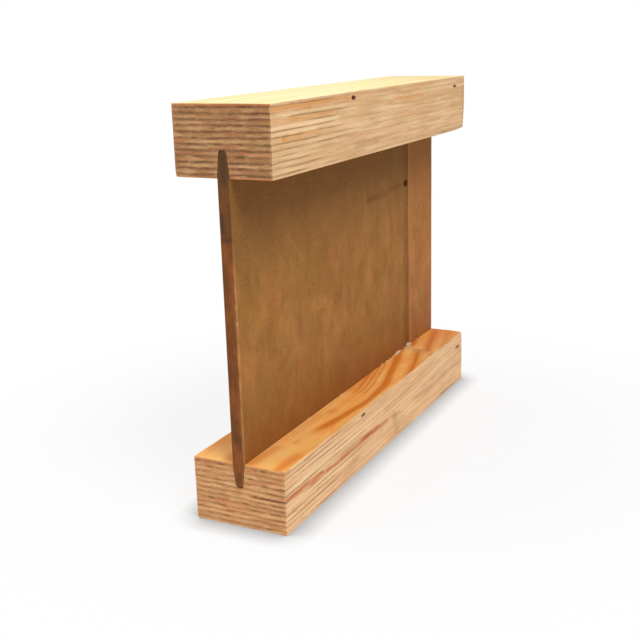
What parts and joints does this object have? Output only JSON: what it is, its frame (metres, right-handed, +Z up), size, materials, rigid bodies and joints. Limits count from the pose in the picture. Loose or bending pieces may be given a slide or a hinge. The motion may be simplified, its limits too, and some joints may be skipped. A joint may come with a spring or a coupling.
{
  "type": "wooden i-joist",
  "caption": "Short length of timber I-joist: laminated veneer flanges glued along the tapered edges of a thin, jointed hardboard web, to carry a floor or roof.",
  "frame": {"origin": "centre of the underside of the bottom flange", "axes": "+X along the joist, away from the end nearest the viewer, +Y across it, +Z up through the web"},
  "size_m": [0.3, 0.06, 0.24],
  "materials": {
    "flange_veneer": "flat peeled softwood veneer, pale yellow to tan, with brown glue lines between the plies",
    "web_hardboard": "pressed hardboard, brown, screen-textured on one face and smooth on the other",
    "adhesive": "cured pale cream glue, squeezed out in small beads where the web meets the bottom flange"
  },
  "bodies": {
    "root": {"bottom_flange_veneer_01": "flange_veneer", "bottom_flange_veneer_02": "flange_veneer", "bottom_flange_veneer_03": "flange_veneer", "bottom_flange_veneer_04": "flange_veneer", "bottom_flange_veneer_05": "flange_veneer", "bottom_flange_veneer_06": "flange_veneer", "bottom_flange_veneer_07": "flange_veneer", "bottom_flange_veneer_08": "flange_veneer", "bottom_flange_veneer_09": "flange_veneer", "bottom_flange_veneer_10": "flange_veneer", "bottom_flange_veneer_11": "flange_veneer", "bottom_flange_veneer_12": "flange_veneer", "bottom_flange_veneer_13": "flange_veneer", "top_flange_veneer_01": "flange_veneer", "top_flange_veneer_02": "flange_veneer", "top_flange_veneer_03": "flange_veneer", "top_flange_veneer_04": "flange_veneer", "top_flange_veneer_05": "flange_veneer", "top_flange_veneer_06": "flange_veneer", "top_flange_veneer_07": "flange_veneer", "top_flange_veneer_08": "flange_veneer", "top_flange_veneer_09": "flange_veneer", "top_flange_veneer_10": "flange_veneer", "top_flange_veneer_11": "flange_veneer", "top_flange_veneer_12": "flange_veneer", "top_flange_veneer_13": "flange_veneer", "web_panel_long": "web_hardboard", "web_panel_short": "web_hardboard"}
  },
  "joints": []
}
